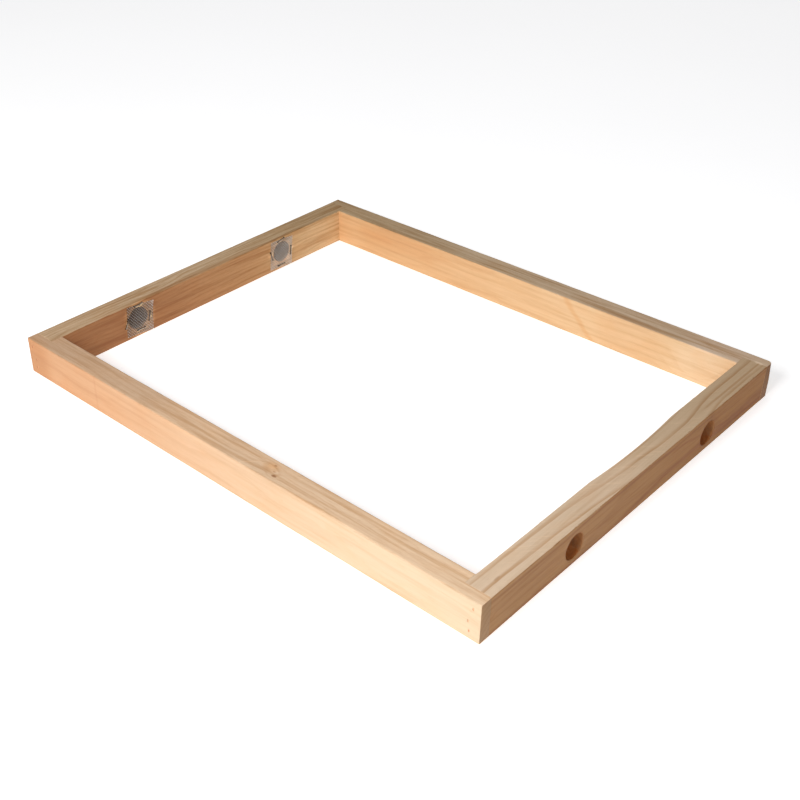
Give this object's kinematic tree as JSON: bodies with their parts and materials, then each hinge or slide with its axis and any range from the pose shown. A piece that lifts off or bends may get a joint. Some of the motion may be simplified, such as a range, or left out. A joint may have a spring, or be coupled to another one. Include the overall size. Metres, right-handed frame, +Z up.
{
  "type": "hive rim",
  "caption": "Rectangular wooden rim that sits between hive boxes, with rabbeted corners held by brads and wire-screened round vent holes through its short rails.",
  "frame": {"origin": "middle of the bottom face", "axes": "+X along the long rails, towards the right short rail; +Y towards the back long rail; +Z up"},
  "size_m": [0.508, 0.406, 0.035],
  "materials": {
    "front_wood": "planed softwood, unfinished",
    "back_wood": "planed softwood, unfinished",
    "left_wood": "planed softwood, unfinished",
    "right_wood": "planed softwood, unfinished",
    "screen_wire": "dull woven wire",
    "staple_wire": "galvanized, slightly worn",
    "brad_wire": "bright wire, slightly tarnished"
  },
  "bodies": {
    "root": {"front_rail": "front_wood", "back_rail": "back_wood", "left_rail": "left_wood", "right_rail": "right_wood", "screen_left_front": "screen_wire", "screen_left_back": "screen_wire", "screen_right_front": "screen_wire", "screen_right_back": "screen_wire", "staple_left_front_top": "staple_wire", "staple_left_front_right": "staple_wire", "staple_left_front_bottom": "staple_wire", "staple_left_front_left": "staple_wire", "staple_left_back_top": "staple_wire", "staple_left_back_right": "staple_wire", "staple_left_back_bottom": "staple_wire", "staple_left_back_left": "staple_wire", "staple_right_front_top": "staple_wire", "staple_right_front_right": "staple_wire", "staple_right_front_bottom": "staple_wire", "staple_right_front_left": "staple_wire", "staple_right_back_top": "staple_wire", "staple_right_back_right": "staple_wire", "staple_right_back_bottom": "staple_wire", "staple_right_back_left": "staple_wire", "brad_front_left_upper": "brad_wire", "brad_front_left_middle": "brad_wire", "brad_front_left_lower": "brad_wire", "brad_front_right_upper": "brad_wire", "brad_front_right_middle": "brad_wire", "brad_front_right_lower": "brad_wire", "brad_back_left_upper": "brad_wire", "brad_back_left_middle": "brad_wire", "brad_back_left_lower": "brad_wire", "brad_back_right_upper": "brad_wire", "brad_back_right_middle": "brad_wire", "brad_back_right_lower": "brad_wire"}
  },
  "joints": []
}
